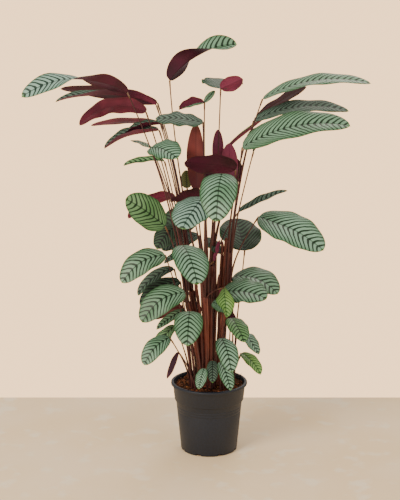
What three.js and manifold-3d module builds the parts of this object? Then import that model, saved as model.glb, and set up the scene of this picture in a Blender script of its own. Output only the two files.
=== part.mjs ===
// A potted ctenanthe: a black nursery pot of soil, seven canes and their leaves.
// Millimetres, +Z up; the origin is the centre of the pot's flat underside, and -Y is the front.
import * as THREE from "three";
import { mergeVertices } from "three/addons/utils/BufferGeometryUtils.js";
import Module from "manifold-3d";

const wasm = await Module();
wasm.setup();

// ---- driving dimensions -------------------------------------------------------------------
const CLEARANCE = 0.3; // air between pieces that touch
const UP = new THREE.Vector3(0, 0, 1);

const POT_HEIGHT = 195;
const POT_WALL = 2;
const POT_FLOOR = 3;
const POT_SEGMENTS = 40;
const BASE_RADIUS = 77.5;
const BASE_ROUNDING = 4;
const BODY_TOP_RADIUS = 91;
const COLLAR_HEIGHT = 52; // from the step under the collar to the rim
const COLLAR_STEP = 4;
const COLLAR_TOP_RADIUS = 99.5;
const LIP_RADIUS = 105;
const LIP_HEIGHT = 8;
const DRAIN_SLOTS = 8;
const DRAIN_SLOT = new THREE.Vector3(12, 15, 7); // radial, around the pot, high

const SOIL_LEVEL = 184;

const CANE_SIDES = 10;
const CANE_STEPS = 6;
const CANE_TOP_RADIUS = 8;
const CANE_FOOT_RADIUS = 6.5;
const SLOTS_PER_CANE = 6;
const SLOT_RING_RADIUS = 5.2; // where the stalks stand on top of a cane

const STALK_RADIUS = 2.2;
const STALK_STEPS = 5;
const STALK_UPRIGHT = 0.5; // part of its rise that a stalk makes before it bends
const USUAL_SWAY = 0.15;
const KNEE_RADIUS = 2.9; // the swollen joint under the blade
const KNEE_LENGTH = 10;
const RIB_HALF_THICKNESS = 0.9;
const TIP_HALF_WIDTH = 0.5;
const SECTION_SIDES = 6;
const EDGE_REACH = Math.sin(Math.PI / 3); // how far a section of six sides reaches sideways
const BLADE_STATIONS = [0.03, 0.1, 0.22, 0.38, 0.55, 0.7, 0.84, 0.94, 1];

// Each cane: its foot on the soil and its top.
const CANES = {
  left_front: { foot: [-26, -20], top: [-60, -20, 430] },
  left_back: { foot: [-22, 14], top: [-50, 25, 450] },
  middle_left: { foot: [-8, -6], top: [-18, 0, 500] },
  middle_front: { foot: [-4, -30], top: [-8, -40, 450] },
  middle_back: { foot: [8, 20], top: [7, 30, 520] },
  right_front: { foot: [23, -10], top: [52, -15, 470] },
  right_back: { foot: [34, 16], top: [55, 20, 560] },
};

// The leaves, one to a row:
//   name
//   from   where its stalk starts: a slot on top of a cane, or x and y on the soil
//   head   the top of its stalk: bearing, reach from the pot's axis, height
//   blade  length and width
//   aim    heading in plan, first rise and later droop
//   roll   roll about the midrib at the base, and further twist to the tip
//   fold   how far its halves fold up along the midrib
//   sway   how far along its lean the stalk bends: near 0 it leans out late, near 1 early
// Angles are in degrees, and a bearing or heading of 0 points along +X, 90 along +Y.
const LEAVES = [
  ["upper_left_1", ["left_front", 3], [195, 222, 1004], [300, 82], [196, 33, 67], [-44, 84], 14],
  ["upper_left_2", ["left_back", 0], [147, 166, 952], [270, 60], [184, 14, 10], [-50, 10], 10],
  ["upper_left_3", ["left_back", 5], [170, 143, 957], [280, 70], [184, 24, 44], [-25, 30], 30],
  ["upper_left_4", ["left_front", 2], [185, 168, 945], [200, 75], [192, 32, 84], [-45, 0], 8],
  ["upper_left_5", ["left_back", 1], [143, 160, 896], [200, 50], [176, 8, 22], [-30, 0], 10],
  ["upper_left_6", ["left_back", 4], [166, 138, 888], [160, 62], [186, -2, 32], [4, 0], 42],
  ["upper_left_7", ["left_front", 5], [200, 165, 858], [98, 88], [-40, 12, 45], [-20, 0], 10],
  ["upper_left_8", ["left_back", 3], [160, 165, 835], [70, 32], [150, 20, 15], [0, 0], 10],
  ["upper_left_9", ["left_front", 1], [176, 120, 808], [115, 30], [188, 15, 40], [25, 0], 30],
  ["top_1", ["middle_left", 3], [180, 105, 1027], [215, 90], [12, 54, 56], [65, -105], 28, 0.8],
  ["top_2", ["middle_back", 4], [-10, 30, 1006], [100, 112], [84, 14, 14], [-4, 0], 8, 0.8],
  ["top_3", ["middle_left", 0], [110, 38, 963], [72, 56], [176, -12, 10], [-30, 0], 35, 0.6],
  ["top_4", ["middle_front", 2], [256, 69, 928], [128, 85], [180, 10, 12], [15, 0], 5],
  ["centre_1", ["middle_left", 4], [210, 40, 735], [185, 50], [-100, 88, 0], [0, 0], -15],
  ["centre_2", ["middle_back", 3], [40, 30, 790], [105, 32], [-90, 90, 0], [0, 0], -15],
  ["centre_3", ["middle_back", 5], [12, 54, 740], [120, 50], [-90, 90, 0], [0, 0], -15],
  ["centre_4", ["right_front", 4], [316.3, 96, 802], [150, 88], [200, 20, 18], [-45, 0], 5],
  ["centre_5", ["middle_front", 1], [262, 62, 725], [100, 75], [186, 10, 30], [-50, 20], 10],
  ["upper_right_1", ["right_back", 5], [352, 141, 981], [300, 72], [-5, 32, 47], [-16, 0], 10],
  ["upper_right_2", ["right_back", 1], [17, 129, 922], [168, 58], [20, 34, 15], [45, 0], 5],
  ["upper_right_3", ["right_back", 0], [5, 118, 918], [265, 80], [-4, 29, 46], [-16, 0], 8],
  ["upper_right_4", ["right_front", 0], [325, 105, 859], [305, 112], [-12, 36, 46], [-32, 8], 10],
  ["upper_right_5", ["middle_back", 1], [50, 50, 813], [195, 24], [15, 50, 25], [10, 0], 55],
  ["right_1", ["middle_back", 0], [30, 92, 660], [160, 40], [25, 22, 10], [-10, 0], 30],
  ["right_2", ["right_front", 5], [332.6, 146.5, 674], [205, 118], [-26, -8, 26], [-25, 0], 8],
  ["right_3", [70, 30], [26, 108, 552], [150, 118], [100, 30, 12], [0, 0], 8],
  ["right_4", [46, -40], [296, 66, 462], [140, 104], [-24, 22, 46], [-22, 0], 8],
  ["right_5", [66, 2], [8, 64, 488], [150, 100], [-28, 20, 66], [-18, 0], 8],
  ["right_6", [52, -34], [310, 90, 395], [110, 57], [-70, 0, 45], [0, 0], 8],
  ["right_7", [64, -18], [332, 85, 345], [95, 50], [-42, 0, 60], [0, 0], 8],
  ["right_8", [38, -50], [290, 95, 345], [115, 60], [-72, -15, 50], [0, 0], 8],
  ["right_9", [60, -42], [330, 100, 290], [85, 40], [-40, -10, 50], [-15, 0], 12],
  ["right_10", [30, -58], [294, 75, 272], [95, 42], [-68, -20, 40], [0, 0], 8],
  ["right_11", [8, -50], [281, 47, 268], [74, 33], [-90, -25, 25], [0, 0], 8],
  ["right_12", ["middle_front", 5], [289, 122, 492], [85, 52], [-85, -45, 15], [-60, 100], 24],
  ["front_1", ["middle_front", 3], [236, 127, 606], [155, 94], [-72, -5, 52], [0, 0], 6],
  ["front_2", ["middle_front", 4], [265, 112, 737], [140, 118], [-120, -5, 46], [0, 0], 6],
  ["front_3", ["middle_front", 0], [286, 117, 800], [176, 98], [-97, 0, 78], [0, 0], 6],
  ["left_1", ["left_front", 4], [205, 130, 645], [138, 92], [197, 44, 14], [62, 0], 8],
  ["left_2", ["left_back", 2], [137, 125, 694], [152, 55], [183, 6, 62], [-50, 0], 10],
  ["left_3", ["middle_left", 1], [106, 105, 634], [110, 85], [185, -5, 20], [50, 0], 8],
  ["left_4", [-46, -40], [205, 130, 566], [150, 74], [205, 4, 62], [35, 0], 8],
  ["left_5", [-38, -34], [226, 93, 466], [155, 82], [207, 5, 66], [35, 0], 8],
  ["left_6", [-46, 12], [170, 97, 509], [130, 38], [186, -8, 58], [40, 0], 20],
  ["left_7", [-48, -8], [190, 80, 482], [135, 60], [197, 0, 60], [30, 0], 8],
  ["left_8", [-40, 34], [156, 77, 394], [100, 66], [170, 0, 45], [-50, 0], 8],
  ["left_9", [-18, -48], [240, 105, 420], [130, 78], [-93, 0, 65], [0, 0], 8],
  ["left_10", [-50, -26], [203, 117, 333], [110, 56], [216, -10, 55], [30, 0], 8],
  ["left_11", [-52, 10], [177, 93, 352], [115, 48], [205, -30, 50], [20, 0], 8],
  ["left_12", [-36, -50], [212, 100, 295], [80, 24], [230, -50, 10], [172, 0], 10],
  ["left_13", [-4, -60], [260, 75, 255], [65, 33], [-110, -30, 30], [0, 0], 8],
].map(([name, from, head, blade, aim, roll, fold, sway = USUAL_SWAY]) => (
  { name, from, head, blade, aim, roll, fold, sway }
));

// ---- materials ----------------------------------------------------------------------------
const POT_PLASTIC = { color: 0x333335, roughness: 0.6, metalness: 0 };
const SOIL_FINISH = { color: 0x4a2a18, roughness: 1, metalness: 0 };
const CANE_FINISH = { color: 0x7a3b30, roughness: 0.6, metalness: 0 };
const LEAF_FINISH = { color: 0x86a58a, roughness: 0.45, metalness: 0 };

// One named mesh with a material of its own.
function piece(name, geometry, finish) {
  const mesh = new THREE.Mesh(geometry, new THREE.MeshStandardMaterial(finish));
  mesh.name = name;
  return mesh;
}

// ---- solids -------------------------------------------------------------------------------
// A geometry without seams or doubled vertices, with only its positions.
function welded(geometry) {
  const bare = geometry.clone();
  bare.deleteAttribute("normal");
  bare.deleteAttribute("uv");
  return mergeVertices(bare, 1e-4);
}

function toSolid(geometry) {
  const closed = welded(geometry);
  const vertProperties = closed.attributes.position.array;
  const triVerts = new Uint32Array(closed.index.array);
  return new wasm.Manifold(new wasm.Mesh({ numProp: 3, vertProperties, triVerts }));
}

function toGeometry(solid) {
  const { vertProperties, triVerts } = solid.getMesh();
  return new THREE.BufferGeometry()
    .setAttribute("position", new THREE.BufferAttribute(new Float32Array(vertProperties), 3))
    .setIndex(new THREE.BufferAttribute(new Uint32Array(triVerts), 1));
}

// A profile of [radius, height] points turned about Z.
function turned(profile) {
  const points = profile.map(([radius, height]) => new THREE.Vector2(radius, height));
  return new THREE.LatheGeometry(points, POT_SEGMENTS).rotateX(Math.PI / 2);
}

// ---- pot and soil -------------------------------------------------------------------------
const COLLAR_BOTTOM = POT_HEIGHT - COLLAR_HEIGHT;
const LIP_BOTTOM = POT_HEIGHT - LIP_HEIGHT;

// The inside radius of the pot at a height, which runs straight from floor to collar to rim.
function innerRadius(height) {
  const body = THREE.MathUtils.mapLinear(height, 0, COLLAR_BOTTOM, BASE_RADIUS, BODY_TOP_RADIUS);
  const collarFoot = BODY_TOP_RADIUS + COLLAR_STEP;
  const collar = THREE.MathUtils.mapLinear(
    height, COLLAR_BOTTOM, POT_HEIGHT, collarFoot, COLLAR_TOP_RADIUS,
  );
  return (height < COLLAR_BOTTOM ? body : collar) - POT_WALL;
}

function potShell() {
  const outside = [
    [0, 0],
    [BASE_RADIUS - BASE_ROUNDING, 0],
    [BASE_RADIUS - BASE_ROUNDING * (1 - Math.SQRT1_2), BASE_ROUNDING * (1 - Math.SQRT1_2)],
    [BASE_RADIUS, BASE_ROUNDING],
    [BODY_TOP_RADIUS, COLLAR_BOTTOM],
    [BODY_TOP_RADIUS + COLLAR_STEP, COLLAR_BOTTOM + POT_WALL],
    [COLLAR_TOP_RADIUS, LIP_BOTTOM],
    [LIP_RADIUS, LIP_BOTTOM + POT_WALL / 2],
    [LIP_RADIUS, POT_HEIGHT - POT_WALL],
    [LIP_RADIUS - POT_WALL, POT_HEIGHT],
  ];
  const inside = [
    [innerRadius(POT_HEIGHT), POT_HEIGHT],
    [innerRadius(COLLAR_BOTTOM + POT_WALL), COLLAR_BOTTOM + 2 * POT_WALL],
    [innerRadius(COLLAR_BOTTOM - 0.01), COLLAR_BOTTOM],
    [innerRadius(POT_FLOOR), POT_FLOOR],
    [0, POT_FLOOR],
  ];
  return turned([...outside, ...inside]);
}

function pot() {
  let shell = toSolid(potShell());
  for (let slot = 0; slot < DRAIN_SLOTS; slot++) {
    const angle = ((slot + 0.5) / DRAIN_SLOTS) * 2 * Math.PI;
    const cutter = new THREE.BoxGeometry(...DRAIN_SLOT)
      .translate(BASE_RADIUS - DRAIN_SLOT.x / 4, 0, DRAIN_SLOT.z / 2 - 1)
      .rotateZ(angle);
    shell = shell.subtract(toSolid(cutter));
  }
  return piece("pot", toGeometry(shell), POT_PLASTIC);
}

function soil() {
  const inset = 2 * CLEARANCE;
  const profile = [
    [0, POT_FLOOR + CLEARANCE],
    [innerRadius(POT_FLOOR) - inset, POT_FLOOR + CLEARANCE],
    [innerRadius(COLLAR_BOTTOM - 0.01) - inset, COLLAR_BOTTOM + CLEARANCE],
    [innerRadius(COLLAR_BOTTOM + POT_WALL) - inset, COLLAR_BOTTOM + 3 * POT_WALL],
    [innerRadius(SOIL_LEVEL) - inset, SOIL_LEVEL],
    [0, SOIL_LEVEL],
  ];
  return piece("soil", turned(profile), SOIL_FINISH);
}

// ---- canes --------------------------------------------------------------------------------
// A cylinder's walls split each square along one diagonal. The squares of its upper half are
// split along the other, so that both faces of a thin twisted blade bend along the same lines.
function matchDiagonals(geometry, sides, rings) {
  const corners = geometry.index.array;
  for (let column = 0; column < sides; column++) {
    if (Math.cos(((column + 0.5) / sides) * 2 * Math.PI) > -0.5) continue;
    for (let ring = 0; ring < rings; ring++) {
      const at = 6 * (column * rings + ring);
      const [a, b, d, , c] = corners.slice(at, at + 5);
      corners.set([a, b, c, a, c, d], at);
    }
  }
}

// A skin round a line of stations: each station has a centre, a side and a normal direction,
// half a width and half a thickness, and how far its edges lift out of the side direction.
function skin(stations, sides) {
  const rings = stations.length - 1;
  const geometry = welded(new THREE.CylinderGeometry(1, 1, 1, sides, rings).rotateX(Math.PI));
  matchDiagonals(geometry, sides, rings);
  const position = geometry.attributes.position;
  const vertex = new THREE.Vector3();
  for (let i = 0; i < position.count; i++) {
    vertex.fromBufferAttribute(position, i);
    const station = stations[Math.round((vertex.y + 0.5) * rings)];
    const across = vertex.x * station.halfWidth;
    const lift = Math.abs(across) * Math.sin(station.fold) + vertex.z * station.halfThickness;
    vertex
      .copy(station.centre)
      .addScaledVector(station.side, across * Math.cos(station.fold))
      .addScaledVector(station.normal, lift);
    position.setXYZ(i, vertex.x, vertex.y, vertex.z);
  }
  return geometry;
}

// A round station of a stalk or cane, its side kept as close as it can be to the next one's.
function roundStation(centre, tangent, nextSide, radius) {
  const side = nextSide.clone().addScaledVector(tangent, -nextSide.dot(tangent)).normalize();
  const normal = side.clone().cross(tangent);
  return { centre, side, normal, halfWidth: radius, halfThickness: radius, fold: 0 };
}

function caneCurve({ foot, top }) {
  const start = new THREE.Vector3(foot[0], foot[1], SOIL_LEVEL + CLEARANCE);
  const end = new THREE.Vector3(...top);
  const bend = start.clone().setZ((start.z + end.z) / 2);
  return new THREE.QuadraticBezierCurve3(start, bend, end);
}

function cane(name, plan) {
  const curve = caneCurve(plan);
  const stations = [];
  for (let step = 0; step <= CANE_STEPS; step++) {
    const u = step / CANE_STEPS;
    const radius = THREE.MathUtils.lerp(CANE_FOOT_RADIUS, CANE_TOP_RADIUS, u);
    // The foot and the top are level, so the ends lie flat on the soil and under the stalks.
    const tangent = step % CANE_STEPS === 0 ? UP : curve.getTangent(u);
    stations.push(roundStation(curve.getPoint(u), tangent, new THREE.Vector3(1, 0, 0), radius));
  }
  return piece("cane_" + name, skin(stations, CANE_SIDES), CANE_FINISH);
}

// ---- leaves -------------------------------------------------------------------------------
// Where a leaf's stalk starts: in a slot on top of its cane, or at its place on the soil.
function stalkFoot([where, slot]) {
  if (!(where in CANES)) return new THREE.Vector3(where, slot, SOIL_LEVEL + CLEARANCE);
  const angle = (slot / SLOTS_PER_CANE) * 2 * Math.PI;
  return new THREE.Vector3(Math.cos(angle), Math.sin(angle), 0)
    .multiplyScalar(SLOT_RING_RADIUS)
    .add(new THREE.Vector3(...CANES[where].top))
    .addScaledVector(UP, CLEARANCE);
}

function stalkHead([bearing, reach, height]) {
  const angle = THREE.MathUtils.degToRad(bearing);
  return new THREE.Vector3(reach * Math.cos(angle), reach * Math.sin(angle), height);
}

// The share of its full width that a blade has at a share of its length: blunt at both ends,
// nearly even along the middle, with a short drip tip.
function bladeOutline(along) {
  return Math.pow(Math.sin(Math.PI * Math.pow(Math.min(along / 0.975, 1), 0.93)), 0.47);
}

function bladeDirection(heading, rise) {
  const level = Math.cos(rise);
  return new THREE.Vector3(level * Math.cos(heading), level * Math.sin(heading), Math.sin(rise));
}

// The stations of a blade, from its base to its tip.
function bladeStations({ head, blade, aim, roll, fold }) {
  const [length, width] = blade;
  const [heading, rise, droop] = aim.map(THREE.MathUtils.degToRad);
  const [baseRoll, twist] = roll.map(THREE.MathUtils.degToRad);
  const levelSide = new THREE.Vector3(Math.sin(heading), -Math.cos(heading), 0);
  const centre = stalkHead(head);
  let walked = 0;
  return BLADE_STATIONS.map((along) => {
    const middle = (walked + along) / 2;
    const stride = (along - walked) * length;
    centre.addScaledVector(bladeDirection(heading, rise - droop * middle), stride);
    walked = along;
    const tangent = bladeDirection(heading, rise - droop * along);
    const turned = twist * THREE.MathUtils.smoothstep(along, 0.1, 0.9);
    const side = levelSide.clone().applyAxisAngle(tangent, -baseRoll - turned);
    return {
      centre: centre.clone(),
      side,
      normal: side.clone().cross(tangent),
      halfWidth: Math.max((width / 2 / EDGE_REACH) * bladeOutline(along), TIP_HALF_WIDTH),
      halfThickness: THREE.MathUtils.lerp(RIB_HALF_THICKNESS, TIP_HALF_WIDTH, along),
      fold: THREE.MathUtils.degToRad(fold),
    };
  });
}

// The stations of a stalk, from its foot to the knee under the blade.
function stalkStations(plan, firstSide) {
  const foot = stalkFoot(plan.from);
  const head = stalkHead(plan.head);
  const bend = foot.clone().lerp(head, plan.sway);
  bend.z = THREE.MathUtils.lerp(foot.z, head.z, STALK_UPRIGHT);
  const curve = new THREE.QuadraticBezierCurve3(foot, bend, head);
  const kneeStart = 1 - KNEE_LENGTH / curve.getLength();
  const stations = [];
  for (let step = 0; step <= STALK_STEPS; step++) {
    const u = (step / STALK_STEPS) * kneeStart;
    const tangent = step === 0 ? UP : curve.getTangent(u);
    stations.push(roundStation(curve.getPoint(u), tangent, firstSide, STALK_RADIUS));
  }
  const [heading, rise] = plan.aim.map(THREE.MathUtils.degToRad);
  const kneeTangent = curve.getTangent(1).add(bladeDirection(heading, rise)).normalize();
  stations.push(roundStation(head, kneeTangent, firstSide, KNEE_RADIUS));
  return stations;
}

function leaf(plan) {
  const blade = bladeStations(plan);
  const stalk = stalkStations(plan, blade[0].side);
  return piece("leaf_" + plan.name, skin([...stalk, ...blade], SECTION_SIDES), LEAF_FINISH);
}

// ---- the plant ----------------------------------------------------------------------------
const plant = new THREE.Group();
plant.add(pot(), soil());
for (const [name, plan] of Object.entries(CANES)) plant.add(cane(name, plan));
for (const plan of LEAVES) plant.add(leaf(plan));

export default plant;
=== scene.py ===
"""A potted ctenanthe: a black nursery pot of soil, seven canes and their striped leaves.

Metres, +Z up. The origin is the centre of the pot's flat underside, and -Y is the front.
"""
import logging
import math
import random
from collections.abc import Callable, Sequence
from dataclasses import dataclass, field
from enum import Enum

import bmesh
import bpy
from mathutils import Matrix, Quaternion, Vector, noise


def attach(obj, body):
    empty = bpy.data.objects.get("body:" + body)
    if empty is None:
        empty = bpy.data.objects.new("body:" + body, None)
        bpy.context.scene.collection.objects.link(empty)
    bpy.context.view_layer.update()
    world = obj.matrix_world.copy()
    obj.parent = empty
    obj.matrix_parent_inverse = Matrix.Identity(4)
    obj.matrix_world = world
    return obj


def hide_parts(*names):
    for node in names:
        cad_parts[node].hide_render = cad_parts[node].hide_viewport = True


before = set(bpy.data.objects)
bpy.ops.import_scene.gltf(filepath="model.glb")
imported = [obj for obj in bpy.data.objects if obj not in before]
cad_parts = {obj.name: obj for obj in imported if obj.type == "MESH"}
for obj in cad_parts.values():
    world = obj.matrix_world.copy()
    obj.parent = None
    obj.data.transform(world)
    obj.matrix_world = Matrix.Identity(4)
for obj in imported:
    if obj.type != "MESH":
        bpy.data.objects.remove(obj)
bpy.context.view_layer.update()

log = logging.getLogger("ctenanthe")

BODY = "root"
MM = 0.001
WELD = 0.00001
DECIMETRES = 10
UP = Vector((0, 0, 1))
SOIL_LEVEL = 0.184

Colour = tuple[float, float, float, float]
Place = Callable[[float, float], Vector]


def paint(code: str) -> Colour:
    """Turns a paint code into a linear colour.

    Args:
        code: Six hexadecimal digits, two each for red, green and blue.

    Returns:
        The linear colour, opaque.
    """
    shares = [int(code[i:i + 2], 16) / 255 for i in (0, 2, 4)]
    return (*(c / 12.92 if c < 0.04045 else ((c + 0.055) / 1.055) ** 2.4 for c in shares), 1.0)


def mix(first: float, second: float, share: float) -> float:
    """Gives the value at a share of the way from first to second."""
    return first + (second - first) * share


def ease(value: float) -> float:
    """Eases a share in and out, and holds it between 0 and 1."""
    held = min(max(value, 0.0), 1.0)
    return held * held * (3 - 2 * held)


# ---- materials ------------------------------------------------------------------------------
class NodeBoard:
    """A new material with short calls to add and join its nodes."""

    def __init__(self, name: str, roughness: float, specular: float = 0.5) -> None:
        """Makes the material.

        Args:
            name: The material's name.
            roughness: The shader's roughness.
            specular: The shader's specular level.
        """
        self.material = bpy.data.materials.new(name)
        self.material.use_nodes = True
        self.tree = self.material.node_tree
        self.shader = next(n for n in self.tree.nodes if n.type == "BSDF_PRINCIPLED")
        self.shader.inputs["Roughness"].default_value = roughness
        self.shader.inputs["Specular IOR Level"].default_value = specular

    def add(self, kind: str, **inputs: object) -> bpy.types.Node:
        """Adds a node and fills its inputs.

        Args:
            kind: The node's type, without its ShaderNode prefix.
            **inputs: Values or sockets by input name, with _ for a space.

        Returns:
            The node.
        """
        node = self.tree.nodes.new("ShaderNode" + kind)
        for name, value in inputs.items():
            self.feed(node.inputs[name.replace("_", " ")], value)
        return node

    def feed(self, socket: bpy.types.NodeSocket, value: object) -> None:
        """Links a socket to an input, or sets the input's value."""
        if isinstance(value, bpy.types.NodeSocket):
            self.tree.links.new(value, socket)
        else:
            socket.default_value = value

    def math(self, operation: str, *values: object) -> bpy.types.NodeSocket:
        """Adds a Math node of that operation on values or sockets."""
        node = self.tree.nodes.new("ShaderNodeMath")
        node.operation = operation
        for socket, value in zip(node.inputs, values):
            self.feed(socket, value)
        return node.outputs[0]

    def blend(self, share: object, first: object, second: object) -> bpy.types.NodeSocket:
        """Mixes two colours: the first at share 0 and the second at share 1."""
        node = self.tree.nodes.new("ShaderNodeMix")
        node.data_type = "RGBA"
        for socket, value in zip((node.inputs[0], node.inputs[6], node.inputs[7]),
                                 (share, first, second)):
            self.feed(socket, value)
        return node.outputs[2]

    def step(self, value: object, low: float, high: float) -> bpy.types.NodeSocket:
        """Turns a value into a smooth share: 0 at low and 1 at high."""
        node = self.add("MapRange", Value=value, From_Min=low, From_Max=high)
        node.interpolation_type = "SMOOTHSTEP"
        return node.outputs[0]

    def fall(self, value: object, low: float, high: float) -> bpy.types.NodeSocket:
        """Turns a value into a smooth share: 1 at low and 0 at high."""
        return self.math("SUBTRACT", 1.0, self.step(value, low, high))

    def coat(self, colour: object, code: str, share: object,
             strength: float = 1.0) -> bpy.types.NodeSocket:
        """Lays a paint over a colour where a share is high.

        Args:
            colour: The colour below.
            code: The paint's code.
            share: How far the paint covers at each place, 0 to 1.
            strength: How far it covers at most.

        Returns:
            The coated colour.
        """
        return self.blend(self.math("MULTIPLY", share, strength), colour, paint(code))

    def noise(self, vector: object, scale: float, detail: float = 2.0) -> bpy.types.NodeSocket:
        """Adds a Noise Texture and gives its value."""
        return self.add("TexNoise", Vector=vector, Scale=scale, Detail=detail).outputs[0]

    def place(self, stretch: Sequence[float] = (1, 1, 1)) -> bpy.types.NodeSocket:
        """Gives the object's own coordinates, scaled along each axis."""
        coordinates = self.add("TexCoord").outputs["Object"]
        return self.add("Mapping", Vector=coordinates, Scale=stretch).outputs[0]

    def chart(self, layer: str) -> tuple[bpy.types.NodeSocket, bpy.types.NodeSocket]:
        """Gives a UV layer's across and along sockets."""
        node = self.tree.nodes.new("ShaderNodeUVMap")
        node.uv_map = layer
        parts = self.add("SeparateXYZ", Vector=node.outputs[0])
        return parts.outputs[0], parts.outputs[1]

    def close(self, colour: object, height: object = None, depth: float = 0.0) -> bpy.types.Material:
        """Joins the colour and the bump to the shader.

        Args:
            colour: The base colour's socket.
            height: The bump's socket, if it has one.
            depth: How deep the bump is, in metres.

        Returns:
            The finished material.
        """
        self.feed(self.shader.inputs["Base Color"], colour)
        if height is not None:
            bump = self.add("Bump", Height=height, Distance=depth, Strength=1.0)
            self.tree.links.new(bump.outputs[0], self.shader.inputs["Normal"])
        return self.material


SPAN = "span"  # UV layer: a point's share across and along its blade or stem
FLAT = "flat"  # UV layer: a point's place on the flattened blade or stem, in decimetres
FEATHER = "feather"  # UV layer: how far out a point of a blade is, and the count of its stripe

MARGIN_GREEN = "2F5A2E"
MARGIN_OLIVE = "4A4628"
TIP_LIME = "5C8A30"
TIP_OLIVE = "4F5A2A"
STRIPE_DRIFT = 0.55  # how far a stripe wanders, as a share of the pitch
UPPER_VEINS = 5.0  # fine veins to a stripe
UNDER_VEINS = 3.0
QUILT_DEPTH = 0.0006
VEIN_DEPTH = 0.0004
RIDGE_DEPTH = 0.0006


@dataclass(frozen=True)
class UpperFinish:
    """The striped upper side of a blade."""

    name: str
    ground: str
    green: str
    stripe: str
    share: float = 0.32
    roughness: float = 0.42

    def make(self) -> bpy.types.Material:
        """Builds the material: silvery ground, dark feather stripes, green margin and tip."""
        board = NodeBoard("leaf_upper_" + self.name, self.roughness, 0.35)
        across, _ = board.chart(FLAT)
        _, length = board.chart(SPAN)
        out, count = board.chart(FEATHER)
        rim = board.math("ABSOLUTE", out)
        drift = board.noise(board.place(), 45.0)
        phase = board.math("MULTIPLY_ADD", drift, STRIPE_DRIFT, count)
        wave = board.math("PINGPONG", phase, 0.5)
        keen = board.math("MULTIPLY_ADD", rim, -0.05, self.share * 0.5)
        line = board.fall(board.math("SUBTRACT", wave, keen), -0.04, 0.04)
        midrib = board.fall(board.math("ABSOLUTE", across), 0.006, 0.02)
        mottle = board.noise(board.place(), 9.0)
        greening = board.math("MAXIMUM", board.step(rim, 0.5, 1.05), board.step(mottle, 0.5, 0.8))
        veins = board.math("PINGPONG", board.math("MULTIPLY", phase, UPPER_VEINS), 0.5)
        colour = board.coat(paint(self.ground), self.green, greening, 0.7)
        colour = board.coat(colour, self.green, veins, 0.3)
        colour = board.coat(colour, self.stripe, line, 0.96)
        colour = board.coat(colour, self.stripe, midrib, 0.85)
        colour = board.coat(colour, MARGIN_GREEN, board.step(rim, 0.9, 0.985), 0.8)
        colour = board.coat(colour, TIP_LIME, board.step(length, 0.94, 0.99), 0.85)
        quilt = board.math("MULTIPLY_ADD", veins, 0.25, wave)
        return board.close(colour, quilt, QUILT_DEPTH)


@dataclass(frozen=True)
class UnderFinish:
    """The plain coloured underside of a blade."""

    name: str
    ground: str
    shade: str
    vein: str
    # How strongly painted shadow darkens the blade toward its base; 0 for none.
    painted_base_shadow: float = 0.0
    roughness: float = 0.5

    def make(self) -> bpy.types.Material:
        """Builds the material: a deep ground with fine slanting veins, a darker rib and, where it is
        set, painted shadow darkening the blade toward its base.
        """
        board = NodeBoard("leaf_under_" + self.name, self.roughness, 0.3)
        across, _ = board.chart(FLAT)
        _, length = board.chart(SPAN)
        out, count = board.chart(FEATHER)
        veins = board.math("PINGPONG", board.math("MULTIPLY", count, UNDER_VEINS), 0.5)
        rim = board.math("ABSOLUTE", out)
        rib = board.fall(board.math("ABSOLUTE", across), 0.004, 0.016)
        mottle = board.step(board.noise(board.place(), 14.0), 0.35, 0.65)
        # Painted shadow: the lower part of the blade darkens toward its base, where other blades
        # shade it.
        base = board.math("MULTIPLY", board.fall(length, 0.15, 0.6), self.painted_base_shadow)
        colour = board.coat(paint(self.ground), self.shade, board.math("MAXIMUM", mottle, base))
        colour = board.coat(colour, self.vein, veins, 0.4)
        colour = board.coat(colour, self.shade, rib, 0.5)
        colour = board.coat(colour, MARGIN_OLIVE, board.step(rim, 0.95, 1.0), 0.5)
        colour = board.coat(colour, TIP_OLIVE, board.step(length, 0.975, 0.995))
        return board.close(colour, veins, VEIN_DEPTH)


@dataclass(frozen=True)
class StemFinish:
    """A stalk, knee, cane or sheath, streaked along its length."""

    name: str
    ground: str
    shade: str
    streak: str
    streaks: float = 10.0
    roughness: float = 0.48

    def make(self) -> bpy.types.Material:
        """Builds the material: long streaks of three tones, with ridges along them."""
        board = NodeBoard("stem_" + self.name, self.roughness, 0.4)
        around, _ = board.chart(SPAN)
        _, along = board.chart(FLAT)
        turn = board.math("MULTIPLY", around, math.tau)
        ring = board.add("CombineXYZ", X=board.math("COSINE", turn), Y=board.math("SINE", turn),
                         Z=board.math("MULTIPLY", along, 0.12)).outputs[0]
        streak = board.noise(ring, self.streaks * 0.35, 4.0)
        patch = board.noise(board.place((1, 1, 0.3)), 26.0)
        colour = board.coat(paint(self.ground), self.shade, board.step(patch, 0.38, 0.62))
        colour = board.coat(colour, self.streak, board.step(streak, 0.5, 0.68), 0.8)
        return board.close(colour, streak, RIDGE_DEPTH)


@dataclass(frozen=True)
class GrainFinish:
    """A grainy finish of three tones on the object's own coordinates."""

    name: str
    ground: str
    shade: str
    fleck: str
    scale: float
    depth: float
    roughness: float
    specular: float = 0.3

    def make(self) -> bpy.types.Material:
        """Builds the material: coarse patches, fine flecks and a fine bump."""
        board = NodeBoard(self.name, self.roughness, self.specular)
        place = board.place()
        patch = board.step(board.noise(place, self.scale * 0.25, 3.0), 0.35, 0.65)
        grain = board.noise(place, self.scale, 4.0)
        colour = board.coat(paint(self.ground), self.shade, patch)
        colour = board.coat(colour, self.fleck, board.step(grain, 0.52, 0.68))
        return board.close(colour, grain, self.depth)


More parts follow.
